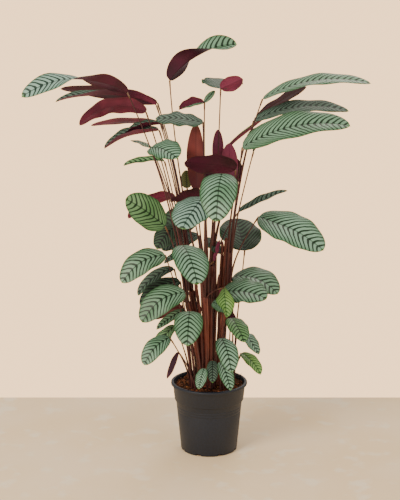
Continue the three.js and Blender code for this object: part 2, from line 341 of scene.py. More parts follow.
class Upper(Enum):
    """The tones of the upper sides."""

    SILVER = UpperFinish("silver", "93B6A8", "567F68", "0E2A20", 0.44)
    MINT = UpperFinish("mint", "88B096", "3A6E42", "0A240E", 0.43)
    GREEN = UpperFinish("green", "76A06C", "34682E", "0C280A", 0.4)
    GREY = UpperFinish("grey", "60786A", "34523C", "14261A", 0.46, 0.6)
    # A darker copy of the striped upper side: its darkness is painted shade, for blades that sit in
    # shadow among the others.
    DARK_PAINTED_SHADE = UpperFinish("dark", "3C5640", "1E3A22", "060E08", 0.5, 0.6)
    FERN = UpperFinish("fern", "7AA284", "30602F", "0A220C", 0.43)
    OLIVE = UpperFinish("olive", "5E5C26", "3C4418", "1E260C", 0.4)
    LIME = UpperFinish("lime", "7EA860", "4E8428", "1A480E", 0.36)


class Under(Enum):
    """The tones of the undersides."""

    WINE = UnderFinish("wine", "460F2C", "280818", "5E1A3A")
    ROSE = UnderFinish("rose", "742A46", "4C1630", "8E4060")
    # Its last value paints a shadow over the lower part of the blade, toward its base.
    BRONZE = UnderFinish("bronze", "7E3A38", "401522", "965046", 0.9)
    MAROON = UnderFinish("maroon", "561A2A", "38101C", "6C2836")


STALK = StemFinish("plum", "4A2226", "301416", "6E4238")
KNEE = StemFinish("knee", "6E4A2E", "5A3A26", "84683A", roughness=0.4)
CANE = StemFinish("cane", "74352A", "461A1A", "A46C56", 16.0, 0.5)
STEM_WRAP = StemFinish("stem_wrap", "562420", "301214", "8A5444", 16.0, 0.5)
SOIL = GrainFinish("soil", "3A2114", "20120A", "6A4024", 160.0, 0.002, 0.95, 0.2)
BARK = GrainFinish("bark", "7A4526", "482614", "A86C3E", 120.0, 0.0012, 0.85, 0.25)
TWIG = GrainFinish("twig", "221412", "140C0A", "4A3022", 220.0, 0.0006, 0.8, 0.25)
PLASTIC = GrainFinish("pot_plastic", "141D2C", "111824", "1A2434", 900.0, 0.00006, 0.5, 0.45)
FLOORING = GrainFinish("flooring", "FFE6C0", "FCE0B4", "FFECCC", 14.0, 0.0, 0.9, 0.1)

_made: dict[str, bpy.types.Material] = {}


def dress(finish: UpperFinish | UnderFinish | StemFinish | GrainFinish) -> bpy.types.Material:
    """Gives a finish's material, and makes it the first time."""
    key = type(finish).__name__ + finish.name
    if key not in _made:
        _made[key] = finish.make()
    return _made[key]


# ---- mesh work ------------------------------------------------------------------------------
def lay_grid(mesh: bmesh.types.BMesh, columns: int, rows: int, place: Place,
             charts: dict[str, Place], material: int = 0,
             turned: bool = False) -> list[bmesh.types.BMFace]:
    """Adds a grid to a mesh, charts it and moves each of its points to its place.

    Args:
        mesh: The mesh to add to.
        columns: How many faces across.
        rows: How many faces along.
        place: Gives a point's place for its shares across and along, 0 to 1.
        charts: For each UV layer but the shares' own, gives a point's place on it.
        material: The faces' material index.
        turned: Whether the faces look the other way.

    Returns:
        The grid's faces.
    """
    points = bmesh.ops.create_grid(mesh, x_segments=columns, y_segments=rows, size=0.5)["verts"]
    shares = {point: (point.co.x + 0.5, point.co.y + 0.5) for point in points}
    faces = list({face for point in points for face in point.link_faces})
    faces.sort(key=lambda face: face.index)
    layers = mesh.loops.layers.uv
    for name in (SPAN, *charts):
        if name not in layers:
            layers.new(name)
    for face in faces:
        face.material_index = material
        face.smooth = True
        for loop in face.loops:
            share = shares[loop.vert]
            loop[layers[SPAN]].uv = share
            for name, chart in charts.items():
                loop[layers[name]].uv = chart(*share).xy
    for point, share in shares.items():
        point.co = place(*share)
    if turned:
        bmesh.ops.reverse_faces(mesh, faces=faces)
    return faces


@dataclass
class Tube:
    """A closed round stem along a curve, with one point at each end."""

    curve: Callable[[float], Vector]
    radius: Callable[[float, float], float]
    length: float
    columns: int = 8
    rows: int = 24
    tangent_step: float = 0.01
    least_side: float = 0.3
    chart_width: float = 0.2

    def share(self, row: float) -> float:
        """Gives the share along the curve of a row, with the two end rows on its ends."""
        return min(max((row * self.rows - 1) / (self.rows - 2), 0.0), 1.0)

    def place(self, turn: float, row: float) -> Vector:
        """Gives the place of a point at a turn round the stem and a row along it."""
        share = self.share(row)
        at = self.curve(share)
        low, high = max(share - self.tangent_step, 0.0), min(share + self.tangent_step, 1.0)
        tangent = (self.curve(high) - self.curve(low)).normalized()
        side = Vector((0, -1, 0)).cross(tangent)
        if side.length < self.least_side:
            side = Vector((1, 0, 0)).cross(tangent)
        side.normalize()
        normal = tangent.cross(side)
        closed = row < 0.5 / self.rows or row > 1 - 0.5 / self.rows
        reach = 0.0 if closed else self.radius(share, turn)
        angle = math.tau * turn
        return at + side * (reach * math.cos(angle)) + normal * (reach * math.sin(angle))

    def chart(self, turn: float, row: float) -> Vector:
        """Gives the flat place of the same point, in decimetres."""
        return Vector((turn * self.chart_width, self.share(row) * self.length * DECIMETRES, 0))

    def add(self, mesh: bmesh.types.BMesh, material: int = 0) -> list[bmesh.types.BMFace]:
        """Adds the stem to a mesh and gives its faces."""
        return lay_grid(mesh, self.columns, self.rows, self.place, {FLAT: self.chart}, material)


def bezier(start: Vector, bend: Vector, end: Vector) -> Callable[[float], Vector]:
    """Gives the curve from start to end that heads for bend first."""
    def at(share: float) -> Vector:
        rest = 1 - share
        return start * (rest * rest) + bend * (2 * rest * share) + end * (share * share)
    return at


def turn_section(spots: Sequence[tuple[float, float]], steps: int) -> bmesh.types.BMesh:
    """Turns a section about the pot's axis.

    Args:
        spots: The section's radii and heights, from the axis to the axis.
        steps: How many steps the turn has.

    Returns:
        The closed shell.
    """
    mesh = bmesh.new()
    points = [mesh.verts.new((radius, 0, height)) for radius, height in spots]
    edges = [mesh.edges.new(pair) for pair in zip(points, points[1:])]
    bmesh.ops.spin(mesh, geom=points + edges, cent=(0, 0, 0), axis=(0, 0, 1), dvec=(0, 0, 0),
                   angle=math.tau, steps=steps, use_merge=True, use_duplicate=False)
    bmesh.ops.remove_doubles(mesh, verts=mesh.verts, dist=WELD)
    bmesh.ops.recalc_face_normals(mesh, faces=mesh.faces)
    return mesh


def put_in_scene(name: str, mesh: bmesh.types.BMesh,
                 finishes: Sequence[bpy.types.Material] = ()) -> bpy.types.Object:
    """Turns a mesh into an object of the scene.

    Args:
        name: The object's name.
        mesh: Its mesh, which is used up.
        finishes: Its materials by index.

    Returns:
        The object.
    """
    data = bpy.data.meshes.new(name)
    mesh.to_mesh(data)
    mesh.free()
    for finish in finishes:
        data.materials.append(finish)
    made = bpy.data.objects.new(name, data)
    bpy.context.scene.collection.objects.link(made)
    return made


def make_piece(name: str, mesh: bmesh.types.BMesh, finishes: Sequence[bpy.types.Material],
               node: str) -> None:
    """Turns a mesh into a piece that rides on the plant's one body.

    Args:
        name: The piece's name.
        mesh: Its mesh, which is used up.
        finishes: Its materials by index.
        node: The frame's node that it stands for.
    """
    bmesh.ops.remove_doubles(mesh, verts=mesh.verts, dist=WELD)
    if mesh.calc_volume(signed=True) < 0:
        bmesh.ops.reverse_faces(mesh, faces=mesh.faces)
    loose = sum(not edge.is_manifold for edge in mesh.edges)
    piece = put_in_scene(name, mesh, finishes)
    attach(piece, BODY)
    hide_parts(node)
    log.info("%s: %d faces, %d open edges", name, len(piece.data.polygons), loose)


# ---- pot and soil ---------------------------------------------------------------------------
@dataclass
class NurseryPot:
    """A tapered pot with a stepped collar, a rolled lip and slots round its foot."""

    height: float = 0.195
    wall: float = 0.002
    floor: float = 0.003
    base_radius: float = 0.0775
    base_rounding: float = 0.004
    body_radius: float = 0.091
    collar_height: float = 0.052
    collar_step: float = 0.004
    collar_radius: float = 0.0995
    lip_radius: float = 0.105
    lip_height: float = 0.008
    ring_heights: tuple[float, ...] = (0.129, 0.121, 0.113)
    ring_depth: float = 0.0005
    lip_edge: float = 0.002
    rim_draft: float = 0.0003
    ring_half_height: float = 0.0012
    corner_steps: int = 4
    keen_angle: float = 28.0
    keen_radius: float = 0.0009
    smooth_angle: float = 40.0
    slots: int = 8
    slot_size: tuple[float, float, float] = (0.012, 0.015, 0.007)
    slot_below: float = 0.001
    steps: int = 96

    def body_at(self, height: float) -> float:
        """Gives the outside radius of the body at a height."""
        foot, top = self.base_rounding, self.height - self.collar_height
        return mix(self.base_radius, self.body_radius, (height - foot) / (top - foot))

    def profile(self) -> list[tuple[float, float]]:
        """Gives the wall's whole section, from the axis below to the axis above the floor."""
        base, step = self.base_radius, self.height - self.collar_height
        lip, edge, wall = self.height - self.lip_height, self.lip_edge, self.wall
        shoulder, half = self.body_radius + self.collar_step, self.ring_half_height
        corner = [(base - self.base_rounding * (1 - math.sin(a)),
                   self.base_rounding * (1 - math.cos(a)))
                  for a in (math.pi / 2 * i / self.corner_steps
                            for i in range(self.corner_steps + 1))]
        rings = [(self.body_at(h + d) - (self.ring_depth if d == 0 else 0), h + d)
                 for h in reversed(self.ring_heights) for d in (-half, 0, half)]
        outside = [(0, 0), *corner, *rings, (self.body_radius, step), (shoulder, step + edge),
                   (self.collar_radius, lip), (self.lip_radius, lip + edge / 2),
                   (self.lip_radius, self.height - edge), (self.lip_radius - edge, self.height)]
        inside = [(self.collar_radius - wall - self.rim_draft, self.height),
                  (shoulder - wall, step + 2 * edge), (self.body_radius - wall, step),
                  (base - wall, self.floor), (0, self.floor)]
        return outside + inside

    def shell(self) -> bmesh.types.BMesh:
        """Turns the section about the axis and rounds its corners."""
        mesh = turn_section(self.profile(), self.steps)
        top = self.height - self.collar_height
        keen = [edge for edge in mesh.edges
                if abs(edge.verts[0].co.z - edge.verts[1].co.z) < WELD
                and edge.calc_face_angle(0) > math.radians(self.keen_angle)
                and edge.verts[0].co.z > top - MM]
        bmesh.ops.bevel(mesh, geom=keen, offset=self.keen_radius, offset_type="OFFSET", segments=3,
                        profile=0.5, affect="EDGES", material=-1)
        return mesh

    def cut_slots(self, pot: bpy.types.Object) -> None:
        """Cuts the drain slots out of the pot's foot and keeps the result.

        Args:
            pot: The pot's object, not yet riding.
        """
        mesh = bmesh.new()
        for slot in range(self.slots):
            cutter = bmesh.ops.create_cube(mesh, size=1.0)["verts"]
            turn = Matrix.Rotation((slot + 0.5) / self.slots * math.tau, 4, "Z")
            reach = self.base_radius - self.slot_size[0] / 4
            rise = self.slot_size[2] / 2 - self.slot_below
            place = turn @ Matrix.Translation((reach, 0, rise)) @ Matrix.Diagonal(
                (*self.slot_size, 1))
            bmesh.ops.transform(mesh, matrix=place, verts=cutter)
        bmesh.ops.recalc_face_normals(mesh, faces=mesh.faces)
        cutters = put_in_scene("slot_cutter", mesh)
        cut = pot.modifiers.new("slots", "BOOLEAN")
        cut.operation, cut.solver, cut.object = "DIFFERENCE", "EXACT", cutters
        bpy.context.view_layer.update()
        ready = pot.evaluated_get(bpy.context.evaluated_depsgraph_get())
        kept = bpy.data.meshes.new_from_object(ready)
        pot.modifiers.clear()
        pot.data = kept
        data = cutters.data
        bpy.data.objects.remove(cutters)
        bpy.data.meshes.remove(data)

    def build(self) -> None:
        """Makes the pot."""
        mesh = self.shell()
        for face in mesh.faces:
            face.smooth = True
        for edge in mesh.edges:
            edge.smooth = edge.calc_face_angle(0) < math.radians(self.smooth_angle)
        pot = put_in_scene("pot_shell", mesh, [dress(PLASTIC)])
        self.cut_slots(pot)
        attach(pot, BODY)
        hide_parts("pot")
        log.info("pot_shell: %d faces", len(pot.data.polygons))


@dataclass
class SoilBed:
    """The soil in the pot, its loose bark and what sticks out of it."""

    level: float = SOIL_LEVEL
    radius: float = 0.0955
    foot_radius: float = 0.0748
    step_radius: float = 0.0884
    step_height: float = 0.1433
    step_rise: float = 0.006
    collar_radius: float = 0.0924
    bottom: float = 0.0033
    roughness: float = 0.0035
    mound: float = 0.003
    edge_fall: float = 0.006
    chips: int = 520
    chip_size: tuple[float, float] = (0.0022, 0.0065)
    chip_rise: tuple[float, float] = (-0.0005, 0.0022)
    chip_chipping: tuple[float, float] = (0.7, 1.15)
    chip_stretch: tuple[float, float] = (0.8, 1.7)
    chip_breadth: tuple[float, float] = (0.4, 0.8)
    chip_flatness: float = 0.38
    chip_tilt: float = 0.8
    rim_gap: float = 0.005
    rings: int = 26
    steps: int = 96

    def bed(self) -> None:
        """Makes the soil, level below and lumpy on top."""
        spots = [(0.0, self.bottom), (self.foot_radius, self.bottom),
                 (self.step_radius, self.step_height),
                 (self.collar_radius, self.step_height + self.step_rise)]
        spots += [(self.radius * (1 - i / self.rings), self.level) for i in range(self.rings + 1)]
        mesh = turn_section(spots, self.steps)
        for point in mesh.verts:
            if point.co.z > self.level - WELD:
                point.co.z += self.lump(point.co)
        for face in mesh.faces:
            face.smooth = True
        make_piece("soil_bed", mesh, [dress(SOIL)], "soil")

    def lump(self, at: Vector) -> float:
        """Gives how far the soil's surface stands above or below its level at a place."""
        flat = Vector((at.x, at.y, 0))
        rough = noise.noise(flat * 70) * 0.6 + noise.noise(flat * 190) * 0.4
        mound = self.mound * (1 - (flat.length / self.radius) ** 2)
        fall = 1 - ease((flat.length - self.radius + self.edge_fall) / self.edge_fall)
        return (rough * self.roughness + mound) * fall

    def litter(self) -> None:
        """Scatters bark over the soil."""
        dice = random.Random(41)
        mesh = bmesh.new()
        for _ in range(self.chips):
            reach = (self.radius - self.rim_gap) * math.sqrt(dice.random())
            angle = dice.uniform(0, math.tau)
            at = Vector((reach * math.cos(angle), reach * math.sin(angle), self.level))
            at.z += self.lump(at) + dice.uniform(*self.chip_rise)
            size = dice.uniform(*self.chip_size)
            points = bmesh.ops.create_icosphere(mesh, subdivisions=1, radius=size)["verts"]
            for point in points:
                point.co *= dice.uniform(*self.chip_chipping)
            flatten = Matrix.Diagonal((dice.uniform(*self.chip_stretch),
                                       dice.uniform(*self.chip_breadth), self.chip_flatness, 1))
            tilt = Quaternion((dice.uniform(-1, 1), dice.uniform(-1, 1), 0.2),
                              dice.uniform(0, self.chip_tilt))
            spin = Matrix.Rotation(dice.uniform(0, math.tau), 4, "Z")
            place = Matrix.Translation(at) @ tilt.to_matrix().to_4x4() @ spin @ flatten
            bmesh.ops.transform(mesh, matrix=place, verts=points)
        make_piece("soil_bark", mesh, [dress(BARK)], "soil")

    def twigs(self) -> None:
        """Stands the dead stalks and stray roots in the soil."""
        rows = [
            ("dead_stalk_left", (-47, -6), (-50, -8, 262), 2.6),
            ("dead_stalk_right", (84, -14), (88, -16, 222), 1.3),
            ("stray_root_1", (-62, -12), (-84, -20, 202), 0.6),
            ("stray_root_2", (-58, -2), (-76, -2, 208), 0.6),
            ("stray_root_3", (-66, 6), (-88, 14, 198), 0.5),
        ]
        for name, foot, top, radius in rows:
            start = Vector((*foot, 180)) * MM
            end = Vector(top) * MM
            bend = start.lerp(end, 0.3) + Vector((0, 0, 0.35 * (end.z - start.z)))
            mesh = bmesh.new()
            Tube(bezier(start, bend, end), lambda share, turn, r=radius: r * MM * (1 - 0.6 * share),
                 (end - start).length, 7, 14).add(mesh)
            make_piece(name, mesh, [dress(TWIG)], "soil")

    def build(self) -> None:
        """Makes everything in the pot but the plant."""
        self.bed()
        self.litter()
        self.twigs()


# ---- canes ----------------------------------------------------------------------------------
@dataclass
class Cane:
    """A cane wrapped in the sheaths of its stalks, fluted where they part at its top."""

    name: str
    foot: tuple[float, float]
    top: tuple[float, float, float]
    stands_for: str = ""
    foot_radius: float = 0.0065
    top_radius: float = 0.008
    crown: float = 0.012
    sink: float = 0.006
    sheaths: float = 3.0
    sheath_step: float = 0.0011
    sheath_lean: float = 0.09
    flutes: int = 6
    flute: float = 0.14
    foot_swell: float = 0.35
    least_dome: float = 0.3
    slender: float = 0.0036
    grid: tuple[int, int] = (36, 110)
    slim_grid: tuple[int, int] = (16, 90)

    def curve(self) -> Callable[[float], Vector]:
        """Gives the line along the cane's middle."""
        start = Vector((*self.foot, SOIL_LEVEL / MM)) * MM
        end = Vector(self.top) * MM
        bend = Vector((start.x, start.y, (start.z + end.z) / 2))
        return bezier(start - UP * self.sink, bend, end)

    def length(self) -> float:
        """Gives the cane's height above the soil."""
        return self.top[2] * MM - SOIL_LEVEL

    def radius(self, share: float, turn: float) -> float:
        """Gives the cane's radius at a share of its length and a turn round it."""
        plain = mix(self.foot_radius, self.top_radius, share)
        lean = self.sheath_lean * math.cos(math.tau * turn + len(self.name))
        wrap = (share + lean) * self.sheaths % 1.0
        wave = math.cos(self.flutes * math.tau * turn)
        flutes = 1 + self.flute * ease(share * 1.6 - 0.3) * wave
        foot = 1 + self.foot_swell * (1 - ease(share * 9))
        lobe = self.crown * (1 + 0.5 * math.sin(math.tau * turn + self.top[0]))
        rest = min((1 - share) * self.length() / lobe, 1.0)
        dome = max(math.sqrt(max(1 - (1 - rest) ** 2, 0.0)), self.least_dome)
        return (plain * flutes * foot + self.sheath_step * (0.5 - wrap)) * dome

    def build(self) -> None:
        """Makes the cane."""
        mesh = bmesh.new()
        columns, rows = self.slim_grid if self.stands_for else self.grid
        Tube(self.curve(), self.radius, self.length(), columns, rows).add(mesh)
        finish = CANE if self.top_radius > self.slender else STEM_WRAP
        node = "cane_" + (self.stands_for or self.name)
        make_piece("stem_" + self.name, mesh, [dress(finish)], node)


# ---- leaves ---------------------------------------------------------------------------------
@dataclass(frozen=True)
class Station:
    """A place along a blade, with its directions and half its width."""

    centre: Vector
    side: Vector
    normal: Vector
    half: float


@dataclass
class Leaf:
    """One leaf: its stalk, the knee under the blade, and the blade.

    Lengths are in millimetres and angles in degrees, as on the plan of the plant.
    """

    name: str
    root: Vector
    head: tuple[float, float, float]
    blade: tuple[float, float]
    aim: tuple[float, float, float]
    roll: tuple[float, float]
    fold: float
    sway: float
    upper: Upper
    under: Under
    stands_for: str = ""
    has_stalk: bool = True
    thickness: float = 0.00035
    rib: float = 0.0009
    stalk_radius: float = 0.0016
    foot_radius: float = 0.0029
    knee_radius: float = 0.0023
    knee_length: float = 0.015
    upright: float = 0.5
    sway_of_curve: float = 0.0022
    pitch: float = 17.0
    least_stripes: float = 7.5
    blunt_end: float = 0.975
    shoulder: float = 0.93
    fullness: float = 0.47
    drip_tip: float = 0.35
    drip_start: float = 0.8
    twist_start: float = 0.1
    edge_crowding: float = 1.15
    right_lag: float = 0.12
    curl: float = -0.10
    columns: int = 16
    short_blade: float = 100.0
    short_rows: int = 28
    long_rows: int = 52
    rows: int = field(init=False)
    dice: random.Random = field(init=False)
    waves: float = field(init=False)
    phase: float = field(init=False)
    ruffle: float = field(init=False)
    bow: float = field(init=False)
    stripes: float = field(init=False)
    sweep: float = field(init=False)

    def __post_init__(self) -> None:
        """Seeds the leaf's own small differences by its name."""
        self.dice = random.Random(self.name)
        self.rows = self.short_rows if self.blade[0] < self.short_blade else self.long_rows
        self.waves = self.dice.uniform(2.2, 3.6)
        self.phase = self.dice.uniform(0, 1)
        self.ruffle = self.dice.uniform(0.018, 0.034) * self.blade[1] * MM
        self.bow = self.dice.uniform(-0.003, 0.003)
        self.stripes = self.blade[0] / min(self.pitch, self.blade[0] / self.least_stripes) + 1
        self.sweep = self.dice.uniform(1.15, 1.35) * self.blade[1] / 2 / self.blade[0] + 0.03

    def knee(self) -> Vector:
        """Gives the top of the stalk, where the blade starts."""
        bearing, reach, height = self.head
        angle = math.radians(bearing)
        return Vector((reach * math.cos(angle), reach * math.sin(angle), height)) * MM

    def direction(self, along: float) -> Vector:
        """Gives the blade's direction at a share of its length."""
        heading, rise, droop = (math.radians(a) for a in self.aim)
        slope = rise - droop * along
        level = math.cos(slope)
        return Vector((level * math.cos(heading), level * math.sin(heading), math.sin(slope)))

    def outline(self, along: float) -> float:
        """Gives the share of its full width that the blade has: blunt, long and drip-tipped."""
        body = math.sin(math.pi * min(along / self.blunt_end, 1.0) ** self.shoulder)
        tip = self.drip_tip * (1 - along) if along > self.drip_start else 0.0
        return max(max(body, 0.0) ** self.fullness, tip)

    def stations(self) -> list[Station]:
        """Walks along the blade from its base to its tip."""
        centre = self.knee()
        heading = math.radians(self.aim[0])
        level_side = Vector((math.sin(heading), -math.cos(heading), 0))
        length, width = self.blade
        walk = []
        for row in range(self.rows + 1):
            along = row / self.rows
            if row:
                centre = centre + self.direction(along - 0.5 / self.rows) * (
                    length * MM / self.rows)
            tangent = self.direction(along)
            twisted = ease((along - self.twist_start) / (1 - 2 * self.twist_start))
            turn = -math.radians(self.roll[0] + self.roll[1] * twisted)
            side = Quaternion(tangent, turn) @ level_side
            walk.append(Station(centre.copy(), side, side.cross(tangent),
                                width / 2 * MM * self.outline(along)))
        return walk

    def lift(self, across: float, along: float, half: float) -> float:
        """Gives how far a point of the blade stands off its midrib's level."""
        rim = abs(across)
        side = 0.0 if across < 0 else 0.31
        ripple = math.sin(math.tau * (self.waves * along + self.phase + side))
        ruffle = self.ruffle * rim ** 3 * ripple * math.sin(math.pi * min(along * 1.05, 1))
        curl = self.curl * half * rim ** 4
        bend = self.bow * math.sin(math.pi * along) * math.sin(math.tau * (along + self.phase))
        return rim * half * math.sin(math.radians(self.fold)) + ruffle + curl + bend

    def add_blade(self, mesh: bmesh.types.BMesh) -> None:
        """Adds the blade's two faces, which meet along its margin."""
        walk = self.stations()
        spread = math.cos(math.radians(self.fold))

        def spread_out(share: float) -> float:
            across = 2 * share - 1
            return math.copysign(abs(across) ** self.edge_crowding, across)

        def place(share: float, along: float, offset: float) -> Vector:
            station = walk[round(along * self.rows)]
            across = spread_out(share)
            rise = self.lift(across, along, station.half)
            depth = self.thickness * (1 - across * across) * min(station.half / 0.004, 1)
            if offset < 0:
                depth += self.rib * (1 - along) * max(1 - abs(across) * 12, 0) * min(along * 30, 1)
            return (station.centre + station.side * (across * station.half * spread)
                    + station.normal * (rise + offset * depth))

        def flat(share: float, along: float) -> Vector:
            station = walk[round(along * self.rows)]
            return Vector((spread_out(share) * station.half * DECIMETRES,
                           along * self.blade[0] * MM * DECIMETRES, 0))

        def feather(share: float, along: float) -> Vector:
            out = spread_out(share)
            lag = self.right_lag if out > 0 else 0.0
            swept = along - self.sweep * abs(out) ** 1.5 * (1 - along ** 3)
            return Vector((out, swept * self.stripes + lag, 0))

        charts = {FLAT: flat, FEATHER: feather}
        lay_grid(mesh, self.columns, self.rows, lambda s, a: place(s, a, 1), charts, 0)
        lay_grid(mesh, self.columns, self.rows, lambda s, a: place(s, a, -1), charts, 1, True)
        bmesh.ops.remove_doubles(mesh, verts=mesh.verts, dist=WELD)
        for edge in mesh.edges:
            edge.smooth = len({face.material_index for face in edge.link_faces}) < 2

    def add_stalk(self, mesh: bmesh.types.BMesh) -> None:
        """Adds the stalk and the knee under the blade."""
        end = self.knee()
        bend = self.root.lerp(end, self.sway)
        bend.z = mix(self.root.z, end.z, self.upright)
        plain = bezier(self.root, bend, end)
        length = (bend - self.root).length * 0.4 + (end - self.root).length * 0.6
        knee = 1 - self.knee_length / length
        lean = Vector((self.dice.uniform(-1, 1), self.dice.uniform(-1, 1), 0)) * self.sway_of_curve

        def curve(share: float) -> Vector:
            return plain(share) + lean * math.sin(math.pi * share) * math.sin(5 * share)

        def radius(share: float, turn: float) -> float:
            slender = mix(self.foot_radius, self.stalk_radius, ease(share * 1.25))
            return slender + (self.knee_radius - self.stalk_radius) * ease((share - knee) * 60)

        for face in Tube(curve, radius, length, rows=44).add(mesh, 2):
            if min(loop[mesh.loops.layers.uv[SPAN]].uv.y for loop in face.loops) > knee - 0.02:
                face.material_index = 3

    def build(self) -> None:
        """Makes the leaf."""
        mesh = bmesh.new()
        self.add_blade(mesh)
        if self.has_stalk:
            self.add_stalk(mesh)
        finishes = [dress(self.upper.value), dress(self.under.value), dress(STALK), dress(KNEE)]
        node = "leaf_" + (self.stands_for or self.name)
        make_piece("blade_" + self.name, mesh, finishes, node)


@dataclass
class Plant:
    """All the canes and leaves, by the plan of the plant.

    Lengths are in millimetres. A cane has its foot and its top. A wrap, a slim sheathed stem beside
    the canes, also has the cane that it stands for and its radii below and above.
    """

    slots_per_cane: int = 6
    slot_ring: float = 5.2
    slot_depth: float = 5.0
    stalk_sink: float = 4.0
    usual_sway: float = 0.15
    canes: dict[str, tuple[tuple[float, float], tuple[float, float, float]]] = field(
        default_factory=lambda: {
            "left_front": ((-26, -20), (-60, -20, 430)),
            "left_back": ((-22, 14), (-50, 25, 450)),
            "middle_left": ((-8, -6), (-18, 0, 500)),
            "middle_front": ((-4, -30), (-8, -40, 450)),
            "middle_back": ((8, 20), (7, 30, 520)),
            "right_front": ((23, -10), (52, -15, 470)),
            "right_back": ((34, 16), (55, 20, 560)),
        })
    wraps: list[tuple] = field(default_factory=lambda: [
        ("left_dark", (-16, -28), (-27, -33, 425), "middle_left", 4.2, 3.2),
        ("left_inner", (-15, 6), (-38, 8, 480), "left_back", 4.5, 3.6),
        ("left_outer", (-30, 2), (-62, 4, 440), "left_back", 4.0, 3.2),
        ("front_pale", (5, -36), (7, -36, 500), "middle_front", 4.0, 2.8),
        ("front_dark", (-14, -12), (-14, -22, 520), "middle_left", 5.0, 3.9),
        ("middle_slim", (14, -4), (18, 2, 560), "middle_back", 4.2, 3.0),
        ("middle_dark", (12, -22), (26, -26, 505), "middle_back", 4.4, 3.2),
        ("right_slim", (25, 4), (36, 0, 590), "right_front", 4.4, 3.4),
        ("right_dark", (30, -2), (46, 4, 600), "right_back", 5.0, 4.0),
        ("right_outer", (38, -4), (63, -6, 520), "right_front", 4.0, 3.0),
    ])

    def root(self, where: str | float, slot: float) -> Vector:
        """Gives where a stalk starts: in a slot on top of a cane, or at a place on the soil."""
        if where not in self.canes:
            return Vector((where, slot, SOIL_LEVEL / MM - self.stalk_sink)) * MM
        angle = slot / self.slots_per_cane * math.tau
        ring = Vector((math.cos(angle), math.sin(angle), 0)) * self.slot_ring
        return (Vector(self.canes[where][1]) + ring - UP * self.slot_depth) * MM

    def leaf(self, name: str, start: tuple, head: tuple, blade: tuple, aim: tuple, roll: tuple,
             fold: float, tones: tuple, **more: object) -> Leaf:
        """Gives the leaf of one row of the plan."""
        sway = more.pop("sway", self.usual_sway)
        return Leaf(name, self.root(*start), head, blade, aim, roll, fold, sway, *tones, **more)

    def build(self) -> None:
        """Makes the canes and the leaves."""
        for name, (foot, top) in self.canes.items():
            Cane(name, foot, top).build()
        for name, foot, top, node, low, high in self.wraps:
            Cane(name, foot, top, node, low * MM, high * MM).build()
        for row in PLAN:
            *plain, last = row
            more = last if isinstance(last, dict) else {}
            self.leaf(*(plain if more else row), **more).build()


